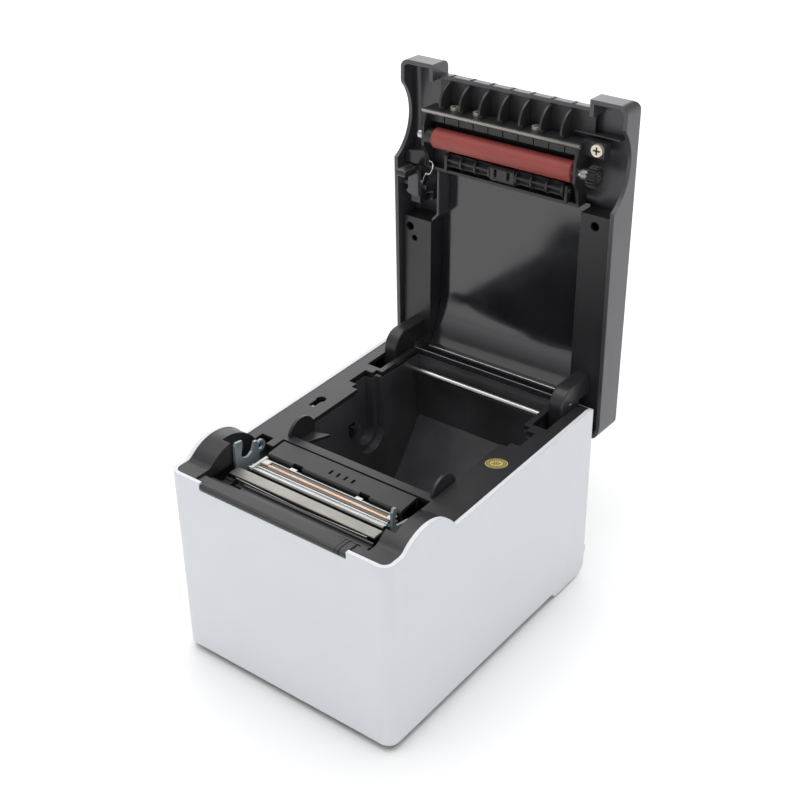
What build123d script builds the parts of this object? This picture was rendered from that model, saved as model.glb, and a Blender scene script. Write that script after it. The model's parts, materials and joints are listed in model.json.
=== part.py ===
"""Desktop thermal receipt printer with its lid thrown open.

Millimetres, +X to the printer's right, +Y to its rear, +Z up.  Everything on the
lid is drawn with the lid shut and turned up about the hinge shaft when it is saved.
"""
import os
from math import acos, cos, degrees, pi, radians, sin, sqrt, tan

from build123d import *

os.makedirs("parts", exist_ok=True)

# ---------------------------------------------------------------- driving dimensions
WIDTH = 133.0            # outer case, side to side
DEPTH = 178.0            # outer case, front to rear
WALL = 2.2               # thickness of moulded walls
CORNER_R = 6.0           # vertical corners of the case
HALF_W = WIDTH / 2
HALF_D = DEPTH / 2
IN_W = HALF_W - WALL     # inner faces of the case
IN_D = HALF_D - WALL
FIT = 0.2                # gap between a piece and the wall it slides into

FRONT_EDGE_Z = 4.5       # lower edge of the case at the front
REAR_EDGE_Z = 1.5        # and behind the step
FLAT_Z = 109.6           # rim over the front corners
HUMP_Y, HUMP_Z, HUMP_R = -59.2, 92.4, 24.2
CUSP_Y, CUSP_Z = -37.5, 103.8
REAR_RIM_Z = 106.4

HINGE_Y, HINGE_Z = 79.7, 94.3
OPEN_ANGLE = 91.0
SHAFT_R = 2.0            # hinge shaft
RUN = 0.05               # radial running clearance
LID_GAP = 0.6            # lid edge above the case rim
LID_TOP_REAR, LID_TOP_FRONT = 125.6, 123.8
LID_REAR_Y = 90.6
LID_FRONT_Y = -88.8

BAY_HALF = 45.5          # paper bay, side to side
BAY_FRONT_Y, BAY_REAR_Y = -24.2, 84.3

MECH_X = -2.5            # middle of the print mechanism
HEAD_HALF = 40.5
PLATEN_Y, PLATEN_Z = -52.0, 108.4
PLATEN_R = 5.4
PLATEN_ENDS = (-42.2, 40.8)
PLATEN_SHAFT_R = 2.4

SWITCH_Y, SWITCH_Z = 51.0, 31.0

GEAR_M = 0.6             # module of the paper drive
GEAR_X = (49.8, 54.2)    # width of the drive gears
FRAME_Y = -11.8          # brings the middle of the open printer's footprint to the origin

OPENED = (
    Pos(0, HINGE_Y, HINGE_Z) * Rot(-OPEN_ANGLE, 0, 0) * Pos(0, -HINGE_Y, -HINGE_Z)
)


# ---------------------------------------------------------------- helpers
def save(piece, name, on_lid=False):
    """Label a finished piece, put it in its place and write its STEP file."""
    placed = OPENED * piece.part if on_lid else piece.part
    placed = Pos(0, FRAME_Y, 0) * placed
    placed.label = name
    export_step(placed, f"parts/{name}.step")


def group(pieces):
    """Put separate solids that share one name into a single piece."""
    with BuildPart() as together:
        add(pieces)
    return together


def block(x, y, z, mode=Mode.ADD):
    """Box between the low and high values of each axis, in the part being built."""
    middle = ((x[0] + x[1]) / 2, (y[0] + y[1]) / 2, (z[0] + z[1]) / 2)
    with Locations(middle):
        Box(x[1] - x[0], y[1] - y[0], z[1] - z[0], mode=mode)


def rod(radius, x, y, z, mode=Mode.ADD):
    """Cylinder along X between two values of x, in the part being built."""
    with Locations(((x[0] + x[1]) / 2, y, z)):
        Cylinder(radius, x[1] - x[0], rotation=(0, 90, 0), mode=mode)


def post(radius, x, y, z, mode=Mode.ADD):
    """Cylinder along Z between two values of z, in the part being built."""
    with Locations((x, y, (z[0] + z[1]) / 2)):
        Cylinder(radius, z[1] - z[0], mode=mode)


def stub(radius, x, y, z, mode=Mode.ADD):
    """Cylinder along Y between two values of y, in the part being built."""
    with Locations((x, (y[0] + y[1]) / 2, z)):
        Cylinder(radius, y[1] - y[0], rotation=(90, 0, 0), mode=mode)


def side_view(points):
    """Closed polygon of (y, z) points, seen from the right."""
    with BuildSketch(Plane.YZ) as view:
        with BuildLine():
            Polyline(*points, close=True)
        make_face()
    return view.sketch


def bar(points, x, mode=Mode.ADD):
    """Side-view polygon swept between two values of x, in the part being built."""
    extrude(Pos(x[0], 0, 0) * side_view(points), amount=x[1] - x[0], mode=mode)


def below_rim(rise, rounded=True):
    """Side view of all the space under the case rim moved outward by `rise`.

    The rear corner is an arc about the hinge shaft, so that the lid's edge swings past
    it.  The lid's own edge is cut with the corner left square.
    """
    radius = HUMP_R + rise
    flat = FLAT_Z + rise
    flat_end = HUMP_Y - sqrt(radius**2 - (flat - HUMP_Z) ** 2)
    slope = (REAR_RIM_Z - CUSP_Z) / (IN_D - CUSP_Y)
    cusp_z = CUSP_Z + rise
    cusp_y = HUMP_Y + sqrt(radius**2 - (cusp_z - HUMP_Z) ** 2)
    corner_r = cusp_z + slope * (HINGE_Y - cusp_y) - HINGE_Z
    far = 120.0
    low = -20.0
    with BuildSketch(Plane.YZ) as view:
        with BuildLine():
            if rounded:
                rear = [(far, low), (far, HINGE_Z), (HINGE_Y + corner_r, HINGE_Z)]
                front = [(HINGE_Y, HINGE_Z + corner_r), (cusp_y, cusp_z)]
                bend = (HINGE_Y + corner_r * sin(pi / 4), HINGE_Z + corner_r * cos(pi / 4))
                ThreePointArc(rear[-1], bend, front[0])
                Polyline(*front)
            else:
                rear = [(far, low), (far, 105.2), (87.6, 105.2), (84.5, cusp_z + slope * (84.5 - cusp_y))]
                Polyline(rear[-1], (cusp_y, cusp_z))
            Polyline((flat_end, flat), (-far, flat), (-far, low), *rear)
            ThreePointArc((cusp_y, cusp_z), (HUMP_Y, HUMP_Z + radius), (flat_end, flat))
        make_face()
        fillet(view.vertices().sort_by_distance((flat_end, flat, 0))[0], 5.0 - rise)
    return view.sketch


def tooth_half_angle(radius, teeth, module):
    """Half the angle that an involute tooth fills at a radius, with backlash."""
    pitch_r = module * teeth / 2
    base_r = pitch_r * cos(radians(20))
    at_pitch = 0.84 * pi / (2 * teeth)
    press = acos(min(1.0, base_r / radius))
    return at_pitch + (tan(radians(20)) - radians(20)) - (tan(press) - press)


def gear(teeth, module, centre, x, bore, phase):
    """Spur gear on an axis along X, a tooth pointing at `phase` degrees from +Y."""
    pitch_r = module * teeth / 2
    root_r = pitch_r - 1.25 * module
    radii = [root_r, max(root_r, pitch_r * cos(radians(20))) + 0.01, pitch_r, pitch_r + module]
    points = []
    for tooth in range(teeth):
        middle = radians(phase) + 2 * pi * tooth / teeth
        flank = [(r, tooth_half_angle(r, teeth, module)) for r in radii]
        for r, half in flank:
            points.append((centre[0] + r * cos(middle - half), centre[1] + r * sin(middle - half)))
        for r, half in reversed(flank):
            points.append((centre[0] + r * cos(middle + half), centre[1] + r * sin(middle + half)))
    bar(points, x)
    rod(bore, (x[0] - 1, x[1] + 1), *centre, mode=Mode.SUBTRACT)


def away(start, distance, angle):
    """Point at a distance from `start`, at an angle in degrees from +Y towards +Z."""
    return (start[0] + distance * cos(radians(angle)), start[1] + distance * sin(radians(angle)))


# ---------------------------------------------------------------- outer case and base
with BuildPart() as outer_case:
    with BuildSketch(Plane.XY.offset(REAR_EDGE_Z)):
        RectangleRounded(WIDTH, DEPTH, CORNER_R)
        RectangleRounded(2 * IN_W, 2 * IN_D, CORNER_R - WALL, mode=Mode.SUBTRACT)
    extrude(amount=125)
    extrude(below_rim(0), amount=WIDTH, both=True, mode=Mode.INTERSECT)
    step = [(-HALF_D - 1, 0), (55.6, 0), (53.6, FRONT_EDGE_Z), (-HALF_D - 1, FRONT_EDGE_Z)]
    bar(step, (-WIDTH, WIDTH), mode=Mode.SUBTRACT)
    heel_r = 14.0
    with BuildSketch(Plane.YZ) as heel:
        with Locations((HALF_D - heel_r / 2 + 0.5, REAR_EDGE_Z + heel_r / 2 - 0.5)):
            Rectangle(heel_r + 1, heel_r + 1)
        with Locations((HALF_D - heel_r, REAR_EDGE_Z + heel_r)):
            Circle(heel_r, mode=Mode.SUBTRACT)
    extrude(heel.sketch, amount=WIDTH, both=True, mode=Mode.SUBTRACT)
    with BuildSketch(Plane.YZ) as heel_wall:
        with Locations((HALF_D - heel_r, REAR_EDGE_Z + heel_r)):
            Circle(heel_r)
            Circle(heel_r - WALL, mode=Mode.SUBTRACT)
        with Locations((HALF_D - heel_r / 2, REAR_EDGE_Z + heel_r / 2)):
            Rectangle(heel_r, heel_r, mode=Mode.INTERSECT)
    extrude(heel_wall.sketch, amount=IN_W + 0.5, both=True)
    block((-46, 43.4), (-HALF_D - 1, -IN_D + 1), (105.8, 120), mode=Mode.SUBTRACT)
    block((-44, 44), (IN_D - 1, HALF_D + 1), (20, 52), mode=Mode.SUBTRACT)
    block((-HALF_W - 1, -IN_W + 1), (SWITCH_Y - 10, SWITCH_Y + 10), (SWITCH_Z - 6, SWITCH_Z + 6), mode=Mode.SUBTRACT)
save(outer_case, "outer_case")

BASE_Z = 5.2
with BuildPart() as base_plate:
    with BuildSketch(Plane.XY.offset(BASE_Z)):
        with Locations((0, -6)):
            RectangleRounded(2 * (IN_W - FIT), 2 * (IN_D - FIT) - 12, 3.5)
    extrude(amount=2.4)
    with BuildSketch(Plane.XY.offset(BASE_Z + 2.4)):
        with Locations((0, -6)):
            RectangleRounded(2 * (IN_W - FIT), 2 * (IN_D - FIT) - 12, 3.5)
            RectangleRounded(2 * (IN_W - FIT) - 3.6, 2 * (IN_D - FIT) - 15.6, 1.7, mode=Mode.SUBTRACT)
    extrude(amount=7)
    with Locations((0, -8, BASE_Z + 2.4 + 3.5)):
        with GridLocations(104, 140, 2, 2):
            Cylinder(4, 7)
save(base_plate, "base_plate")

with BuildPart() as rubber_feet:
    with Locations((0, -8, BASE_Z / 2)):
        with GridLocations(96, 132, 2, 2):
            Cylinder(7, BASE_Z)
    chamfer(rubber_feet.edges().group_by(Axis.Z)[0], 0.8)
save(rubber_feet, "rubber_feet")

# ---------------------------------------------------------------- inner deck
DECK_T = 2.4
NOTCHES = [(29.6, 51.2, 49.5), (33.5, 47.6, 54.5)]   # y from, y to, half width
SLOT_X = (48.7, 57.6)
with BuildPart() as deck_frame:
    extrude(below_rim(-0.3), amount=IN_W - FIT, both=True)
    extrude(below_rim(-0.3 - DECK_T), amount=WIDTH, both=True, mode=Mode.SUBTRACT)
    block((-WIDTH, WIDTH), (-130, -37.2), (0, 130), mode=Mode.SUBTRACT)
    block((-WIDTH, WIDTH), (IN_D - FIT, 130), (0, 130), mode=Mode.SUBTRACT)
    for side in (-1, 1):
        wall_x = sorted((side * (IN_W - FIT), side * (IN_W - FIT - 2)))
        block(wall_x, (-37.2, IN_D - FIT), (92, 102.6))
        slot_x = sorted((side * SLOT_X[0], side * SLOT_X[1]))
        block(slot_x, (53.6, IN_D - 0.8), (80, 130), mode=Mode.SUBTRACT)
    block((-BAY_HALF, BAY_HALF), (BAY_FRONT_Y, BAY_REAR_Y), (80, 130), mode=Mode.SUBTRACT)
    block((-45.9, 45.9), (-40, -29.2), (80, 130), mode=Mode.SUBTRACT)
    for low, high, half in NOTCHES:
        block((-half, half), (low, high), (80, 130), mode=Mode.SUBTRACT)
    block((-56.9, -53.4), (2.8, 9.0), (80, 130), mode=Mode.SUBTRACT)      # keyhole in the left rail
    post(2.7, -54.9, 10.8, (80, 130), mode=Mode.SUBTRACT)
    block((-58.2, -50.6), (-37.5, -31.4), (80, 130), mode=Mode.SUBTRACT)
    with BuildSketch(Plane.XY.offset(90)):
        RectangleRounded(2 * (IN_W - FIT), 2 * (IN_D - FIT), 3.6)
    extrude(amount=30, mode=Mode.INTERSECT)
save(deck_frame, "deck_frame")

HUMP_IN = 50.8           # inner side of the hump covers
covers = []
for side in (-1, 1):
    outer = side * (IN_W - FIT)
    inner = side * HUMP_IN
    with BuildPart() as hump_cover:
        extrude(below_rim(-0.3), amount=WIDTH, both=True)
        block((-WIDTH, WIDTH), (-130, -IN_D + FIT), (-30, 130), mode=Mode.SUBTRACT)
        block((-WIDTH, WIDTH), (-37.6, 130), (-30, 130), mode=Mode.SUBTRACT)
        block((-WIDTH, WIDTH), (-130, 130), (-30, 94), mode=Mode.SUBTRACT)
        with BuildSketch(Plane.XY.offset(90)):
            RectangleRounded(2 * (IN_W - FIT), 2 * (IN_D - FIT), 3.6)
        extrude(amount=40, mode=Mode.INTERSECT)
        block(sorted((inner, -side * WIDTH)), (-130, 130), (0, 130), mode=Mode.SUBTRACT)
        hollow_x = sorted((outer - side * 2.0, inner + side * 6.4))
        hollow = Pos(hollow_x[0], 0, 0) * below_rim(-2.6)
        with BuildPart(mode=Mode.PRIVATE) as inside:
            extrude(hollow, amount=hollow_x[1] - hollow_x[0])
            block((-WIDTH, WIDTH), (-130, -IN_D + 2.4), (-30, 130), mode=Mode.SUBTRACT)
            block((-WIDTH, WIDTH), (-40, 130), (-30, 130), mode=Mode.SUBTRACT)
        add(inside.part, mode=Mode.SUBTRACT)
        notch_front = -61.5 if side < 0 else -69.5
        pocket_x = sorted((side * 56.2, 0))
        block(pocket_x, (notch_front, -36), (80, 130), mode=Mode.SUBTRACT)
        block(sorted((side * 52.6, 0)), (-79, notch_front), (80, 104.5), mode=Mode.SUBTRACT)
        if side < 0:
            block((-58.2, HUMP_IN), (-39.8, -37), (80, 102), mode=Mode.SUBTRACT)
    covers.append(hump_cover.part)
save(group(covers), "hump_covers")

BEZEL_X = (-45.7, 43.1)
with BuildPart() as front_bezel:
    nose = [
        (-88.8, 106.3), (-89.3, 107.2), (-88.9, 108.3), (-87.6, 108.9), (-81.5, 108.9),
        (-79.6, 108.2), (-78.2, 106.4), (-77.2, 103.6), (-77.2, 98), (-79.2, 98), (-79.2, 103.4),
        (-81, 106.6), (-84.4, 106.6), (-84.4, 98), (-86.5, 98), (-86.5, 106.3),
    ]
    bar(nose, BEZEL_X)
    end_cap = [(-86.5, 98), (-86.5, 107.2), (-85.2, 108.4), (-80.6, 108.2), (-77.2, 103), (-77.2, 98)]
    bar(end_cap, (-HUMP_IN + 0.3, BEZEL_X[0] + 2))
    bar(end_cap, (BEZEL_X[1] - 2, HUMP_IN - 0.3))
    # sill between the nose and the cutter, with a rail along its rear edge
    sill = [(-77.3, 99.4), (-77.3, 102.2), (-70.4, 101.2), (-69.9, 102.3), (-68.9, 102.3), (-68.9, 99.4)]
    bar(sill, (-47.6, 43.1))
    block((-42.4, -35.6), (-72.8, -68), (99, 104), mode=Mode.SUBTRACT)
save(front_bezel, "front_bezel")

# ---------------------------------------------------------------- paper bay
with BuildPart() as paper_bay:
    front = BAY_FRONT_Y - WALL
    outline = [(front, 102), (front, 44), (0, 18), (48, 18), (60.2, 28.0), (86.4, 61.6), (86.4, 102)]
    bar(outline, (-BAY_HALF - 2, BAY_HALF + 2))
    for side in (-1, 1):
        block(sorted((side * 47, side * 56.5)), (27.6, 53.2), (56, 101.4))
    hollow = [(BAY_FRONT_Y, 110), (BAY_FRONT_Y, 45), (1.2, 20), (47, 20), (58.4, 29.0), (BAY_REAR_Y, 62.4), (BAY_REAR_Y, 110)]
    bar(hollow, (-BAY_HALF, BAY_HALF), mode=Mode.SUBTRACT)
    for low, high, half in NOTCHES:
        middle, radius = (low + high) / 2, (high - low) / 2
        block((-half, half), (low, high), (70.4, 110), mode=Mode.SUBTRACT)
        rod(radius, (-half, half), middle, 70.4, mode=Mode.SUBTRACT)
    block((-54.6, -51.4), (34.8, 38.6), (72.8, 75.2))
    rod(SHAFT_R + RUN, (-WIDTH, WIDTH), HINGE_Y, HINGE_Z, mode=Mode.SUBTRACT)
    for side in (-1, 1):
        block(sorted((side * (BAY_HALF + 3.2), side * 60)), (53.4, 90), (50, 110), mode=Mode.SUBTRACT)
    block((-BAY_HALF - 3, -BAY_HALF + 1), (21.5, 26.5), (78, 86), mode=Mode.SUBTRACT)      # near-end sensor
    extrude(below_rim(-3.2), amount=WIDTH, both=True, mode=Mode.INTERSECT)
save(paper_bay, "paper_bay")

with BuildPart() as near_end_sensor:
    block((-54.5, -47.9), (18.5, 27.3), (74, 90))
    block((-48.0, -44.6), (22.0, 26.0), (79, 83))
    block((-46.5, -43.2), (22.6, 25.4), (80, 84.4))
save(near_end_sensor, "near_end_sensor")

guides = []
for side in (-1, 1):
    with BuildPart() as paper_guide:
        cheek_x = sorted((side * 43.6, side * 45.2))
        rod(9.8, cheek_x, -17.5, 101.5)
        block(cheek_x, (-30, -5), (88, 95.5), mode=Mode.SUBTRACT)
        block(cheek_x, (-30, -24.0), (88, 104.2), mode=Mode.SUBTRACT)
        with BuildSketch(Plane.XY.offset(97.4)):
            with BuildLine():
                Polyline(
                    (side * 44.4, -21.0), (side * 39.4, -18.0), (side * 34.6, -6.4), (side * 44.4, -9.6), close=True,
                )
            make_face()
        extrude(amount=1.6)
    guides.append(paper_guide.part)
save(group(guides), "paper_guides")

# ---------------------------------------------------------------- hinge
with BuildPart() as hinge_shaft:
    rod(SHAFT_R, (-61.7, 61.7), HINGE_Y, HINGE_Z)
    chamfer(hinge_shaft.edges(), 0.4)
save(hinge_shaft, "hinge_shaft")

with BuildPart() as hinge_brackets:
    for side in (-1, 1):
        plate_x = sorted((side * 59.8, side * 61.2))
        block(plate_x, (72.5, 85.0), (84, 101.0))
    rod(SHAFT_R + RUN, (-WIDTH, WIDTH), HINGE_Y, HINGE_Z, mode=Mode.SUBTRACT)
save(hinge_brackets, "hinge_brackets")

# ---------------------------------------------------------------- print mechanism
LEFT_X = MECH_X - 47.4   # hook plates
RIGHT_X = MECH_X + 47.4
MECH_L = MECH_X - 43.2   # inner faces of the mechanism's side plates
MECH_R = MECH_X + 43.2
LATCH_Y, LATCH_Z = -46.0, 90.0

with BuildPart() as mechanism_frame:
    block((MECH_L - 2, MECH_R + 2), (-60, -27.4), (84, 86))
    for x in (MECH_L - 2, MECH_R):
        block((x, x + 2), (-60, -27.4), (86, 98))
    rod(1.55, (-WIDTH, WIDTH), LATCH_Y, LATCH_Z, mode=Mode.SUBTRACT)
    rod(1.55, (-WIDTH, WIDTH), -38.0, 93.5, mode=Mode.SUBTRACT)
    block((-34, 29), (-42, -30), (83, 87), mode=Mode.SUBTRACT)
save(mechanism_frame, "mechanism_frame")

with BuildPart() as cutter_plate:
    block((MECH_X - 45.8, MECH_X + 44), (-66.6, -60.0), (101.8, 103.0))
    block((MECH_X - 45.8, MECH_X + 44), (-61.2, -60.0), (99, 102))
    block((MECH_X - 43, MECH_X + 43), (-61.2, -60.0), (88, 99))
    chamfer(cutter_plate.edges().group_by(Axis.Z)[-1], 0.3)
save(cutter_plate, "cutter_plate")

BLADE_Y = (-67.9, -67.3)
BLADE_TOP = 102.6
with BuildPart() as moving_blade:
    with BuildSketch(Plane.XZ.offset(-BLADE_Y[1])):
        with BuildLine():
            Polyline(
                (MECH_X - HEAD_HALF, 84), (MECH_X + HEAD_HALF, 84), (MECH_X + HEAD_HALF, BLADE_TOP),
                (MECH_X, BLADE_TOP - 1.2), (MECH_X - HEAD_HALF, BLADE_TOP), close=True,
            )
        make_face()
    extrude(amount=BLADE_Y[1] - BLADE_Y[0])
save(moving_blade, "moving_blade")

RACK_M = 0.8
RACK_TEETH = 14
RACK_PITCH_Y = -71.0
CUTTER_GEAR = (RACK_PITCH_Y - RACK_M * RACK_TEETH / 2, 89.0)
CUTTER_X = (-41.0, -37.0)
with BuildPart() as blade_rack:
    block((-41.5, -36.5), (RACK_PITCH_Y + 1.0, BLADE_Y[0]), (78, 100))
    tooth_pitch = pi * RACK_M
    for index in range(-4, 4):
        middle = CUTTER_GEAR[1] + (index + 0.5) * tooth_pitch
        tip = 0.84 * tooth_pitch / 4 - RACK_M * tan(radians(20))
        root = 0.84 * tooth_pitch / 4 + RACK_M * tan(radians(20))
        bar(
            [
                (RACK_PITCH_Y + 1.1, middle - root), (RACK_PITCH_Y - RACK_M, middle - tip),
                (RACK_PITCH_Y - RACK_M, middle + tip), (RACK_PITCH_Y + 1.1, middle + root),
            ],
            (-41.0, -37.0),
        )
save(blade_rack, "blade_rack")

with BuildPart() as cutter_gear:
    gear(RACK_TEETH, RACK_M, CUTTER_GEAR, CUTTER_X, 1.05, 0)
save(cutter_gear, "cutter_gear")

with BuildPart() as cutter_motor:
    rod(7.8, (-34.5, -8), *CUTTER_GEAR)
    rod(2.5, (-36.2, -34.5), *CUTTER_GEAR)
    rod(1.0, (-41.6, -34.5), *CUTTER_GEAR)
    rod(2.0, (-8, -6.5), *CUTTER_GEAR)
save(cutter_motor, "cutter_motor")

with BuildPart() as cutter_bracket:
    block((-35.9, -34.7), (-86.4, -69.2), (80, 97.4))
    block((-35.9, -8), (-86.4, -69.2), (79, 80))
    rod(2.7, (-60, 0), *CUTTER_GEAR, mode=Mode.SUBTRACT)
save(cutter_bracket, "cutter_bracket")

with BuildPart() as paper_strip:
    ledge = [
        (-57.0, 98.5), (-57.0, 101.6), (-56.4, 102.4), (-55.6, 102.4), (-55.2, 101.8), (-54.2, 101.8),
        (-53.8, 102.3), (-53.0, 102.3), (-52.6, 101.5), (-52.6, 98.5),
    ]
    bar(ledge, (MECH_X - HEAD_HALF - 2, MECH_X + HEAD_HALF + 1))
save(paper_strip, "paper_strip")

HEAD_PIVOT = (-38.0, 93.5)
with BuildPart() as heat_sink:
    block((MECH_X - HEAD_HALF, MECH_X + HEAD_HALF), (-52.0, -45.4), (92.6, 100.9))
    block((MECH_X - HEAD_HALF, MECH_X + HEAD_HALF), (-45.4, -44.4), (97.5, 100.9))
    for x in (MECH_X - 34, MECH_X + 30):
        block((x, x + 4), (-46, -36), (92.6, 96))
        rod(3, (x, x + 4), *HEAD_PIVOT)
    for index in range(8):
        middle = MECH_X - 35 + index * 10
        block((middle - 1, middle + 1), (-53, -46.4), (90, 95), mode=Mode.SUBTRACT)
    rod(1.55, (-WIDTH, WIDTH), *HEAD_PIVOT, mode=Mode.SUBTRACT)
save(heat_sink, "heat_sink")

with BuildPart() as head_ceramic:
    block((MECH_X - HEAD_HALF, MECH_X + HEAD_HALF), (-51.8, -46.2), (100.9, 101.6))
save(head_ceramic, "head_ceramic")

with BuildPart() as head_pin:
    rod(1.5, (MECH_L - 3.4, MECH_R + 3.4), *HEAD_PIVOT)
save(head_pin, "head_pin")

SPRING_X = (MECH_X - 24, MECH_X, MECH_X + 24)
with BuildPart() as head_springs:
    for x in SPRING_X:
        post(3, x, -50.8, (86, 92.0))
        post(2.2, x, -50.8, (85, 93), mode=Mode.SUBTRACT)
save(head_springs, "head_springs")

with BuildPart() as head_cover:
    skin = [(-43.6, 96.5), (-43.6, 102.4), (-42.8, 103.2), (-31.0, 104.0), (-29.6, 103.2), (-29.6, 98), (-31.4, 98), (-31.4, 102.2), (-42.2, 101.4), (-42.2, 96.5)]
    bar(skin, (MECH_X - 41.5, MECH_X + 41.5))
    for index in range(4):
        slot_x = -8.4 + index * 4.6
        block((slot_x, slot_x + 1.3), (-39.4, -36.2), (100, 106), mode=Mode.SUBTRACT)
    for notch_x in (-24.5, 17.0):
        block((notch_x - 3, notch_x + 3), (-45, -42.0), (99, 106), mode=Mode.SUBTRACT)
save(head_cover, "head_cover")

# hook plates that hold the platen's ends, joined by their cross rod
slot_edge = [(-55.0, 114.8), (-54.8, 112.6), (-56.4, 107.2), (-54.8, 104.6), (-51.6, 103.8)]
foot = [(-43.2, 88.0), (-48.8, 88.0), (-51.2, 96.0)]
left_outline = [
    (-57.0, 97.2), (-60.0, 100.2), (-60.6, 106.0), (-60.2, 114.0), (-59.2, 115.4), *slot_edge,
    (-48.6, 105.4), (-46.6, 109.8), (-44.6, 109.6), (-43.8, 105.0), *foot,
]
right_outline = [(-55.4, 98.0), (-58.0, 104.0), (-58.0, 113.0), (-56.8, 115.0), *slot_edge, (-45.4, 102.6), *foot]
hooks = []
for x, outline in ((LEFT_X, left_outline), (RIGHT_X, right_outline)):
    with BuildPart() as latch_hook:
        with BuildSketch(Plane.YZ.offset(x - 0.7)):
            with BuildLine():
                Polyline(*outline, close=True)
            make_face()
            if x == LEFT_X:
                with Locations((-42.3, 105.4)):
                    Circle(3.3)
                    Circle(1.7, mode=Mode.SUBTRACT)
        extrude(amount=1.4)
        rod(1.5, (x - 2, x + 2), LATCH_Y, LATCH_Z, mode=Mode.SUBTRACT)
    hooks.append(latch_hook.part)
save(group(hooks), "latch_hooks")

with BuildPart() as latch_rod:
    rod(1.5, (LEFT_X - 0.7, RIGHT_X + 0.7), LATCH_Y, LATCH_Z)
save(latch_rod, "latch_rod")

# ---------------------------------------------------------------- paper drive
PLATEN = (PLATEN_Y, PLATEN_Z)
PLATEN_TEETH, UPPER_TEETH, LOWER_TEETH, PINION_TEETH = 16, 28, 32, 12
UPPER_ANGLE, LOWER_ANGLE, PINION_ANGLE = -72.0, -100.0, -80.0
UPPER = away(PLATEN, GEAR_M * (PLATEN_TEETH + UPPER_TEETH) / 2, UPPER_ANGLE)
LOWER = away(UPPER, GEAR_M * (UPPER_TEETH + LOWER_TEETH) / 2, LOWER_ANGLE)
PINION = away(LOWER, GEAR_M * (LOWER_TEETH + PINION_TEETH) / 2, PINION_ANGLE)


def phase_after(phase, angle, teeth, next_teeth):
    """Phase of the next gear that puts its gap on the first gear's tooth line."""
    offset = (phase - angle) * teeth / next_teeth
    return angle + 180 + 180 / next_teeth - offset


PLATEN_PHASE = UPPER_ANGLE
UPPER_PHASE = phase_after(PLATEN_PHASE, UPPER_ANGLE, PLATEN_TEETH, UPPER_TEETH)
LOWER_PHASE = phase_after(UPPER_PHASE, LOWER_ANGLE, UPPER_TEETH, LOWER_TEETH)
PINION_PHASE = phase_after(LOWER_PHASE, PINION_ANGLE, LOWER_TEETH, PINION_TEETH)

with BuildPart() as upper_idler:
    gear(UPPER_TEETH, GEAR_M, UPPER, GEAR_X, 1.55, UPPER_PHASE)
save(upper_idler, "upper_idler")

with BuildPart() as lower_idler:
    gear(LOWER_TEETH, GEAR_M, LOWER, GEAR_X, 1.55, LOWER_PHASE)
save(lower_idler, "lower_idler")

with BuildPart() as motor_pinion:
    gear(PINION_TEETH, GEAR_M, PINION, GEAR_X, 1.3, PINION_PHASE)
    rod(1.3, (40, 54), *PINION)
save(motor_pinion, "motor_pinion")

with BuildPart() as drive_plate:
    block((47.2, 48.4), (-66, -30), (48, 99.5))
    for centre in (UPPER, LOWER):
        rod(1.5, (48.4, 54.2), *centre)
    rod(6, (40, 50), *PINION, mode=Mode.SUBTRACT)
save(drive_plate, "drive_plate")

with BuildPart() as feed_motor:
    rod(17.5, (26, 47), *PINION)
    rod(5.8, (47, 48.6), *PINION)
    rod(1.4, (38, 50), *PINION, mode=Mode.SUBTRACT)
save(feed_motor, "feed_motor")

# ---------------------------------------------------------------- electronics and rear
with BuildPart() as main_board:
    block((-57, 57), (-70, 66), (14.6, 16.2))
    block((-30, -14), (-50, -34), (16.2, 18.4), mode=Mode.ADD)
    block((12, 24), (-62, -50), (16.2, 17.6), mode=Mode.ADD)
save(main_board, "main_board")

with BuildPart() as rear_panel:
    block((-46, 46), (84.4, 86.6), (18.5, 54))
    block((-40, -26), (84, 87), (28, 42), mode=Mode.SUBTRACT)      # power inlet
    block((-18, -5.4), (84, 87), (28, 40), mode=Mode.SUBTRACT)     # square data port
    block((2, 18.4), (84, 87), (27, 41), mode=Mode.SUBTRACT)       # network port
    block((24, 37.6), (84, 87), (28, 40), mode=Mode.SUBTRACT)      # cash drawer port
save(rear_panel, "rear_panel")


def port(name, x, z, y_front, wall, plug):
    """Socket shell open to the rear, with a contact block inside."""
    with BuildPart() as socket:
        block(x, (y_front, 86.2), z)
        block((x[0] + wall, x[1] - wall), (y_front + 2, 90), (z[0] + wall, z[1] - wall), mode=Mode.SUBTRACT)
        block(plug[0], (y_front + 1, 84.4), plug[1])
    save(socket, name)


port("power_inlet", (-39.8, -26.2), (28.2, 41.8), 72, 1.6, ((-33.6, -32.4), (34.4, 35.6)))
port("usb_port", (-17.8, -5.6), (28.2, 39.8), 72, 1.0, ((-14.4, -9), (32.6, 34.4)))
port("network_port", (2.2, 18.2), (27.2, 40.8), 72, 1.2, ((6, 14.4), (37.4, 38.8)))
port("drawer_port", (24.2, 37.4), (28.2, 39.8), 72, 1.2, ((27, 34.6), (36.4, 37.8)))


ROCKER_X = -HALF_W + 6.0
with BuildPart() as switch_housing:
    block((-HALF_W + 0.3, -52), (SWITCH_Y - 9.8, SWITCH_Y + 9.8), (SWITCH_Z - 5.8, SWITCH_Z + 5.8))
    block((-HALF_W - 1, -53.5), (SWITCH_Y - 8.9, SWITCH_Y + 8.9), (SWITCH_Z - 4.6, SWITCH_Z + 4.6), mode=Mode.SUBTRACT)
    post(1.0, ROCKER_X, SWITCH_Y, (SWITCH_Z - 5, SWITCH_Z + 5))
save(switch_housing, "switch_housing")

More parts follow.
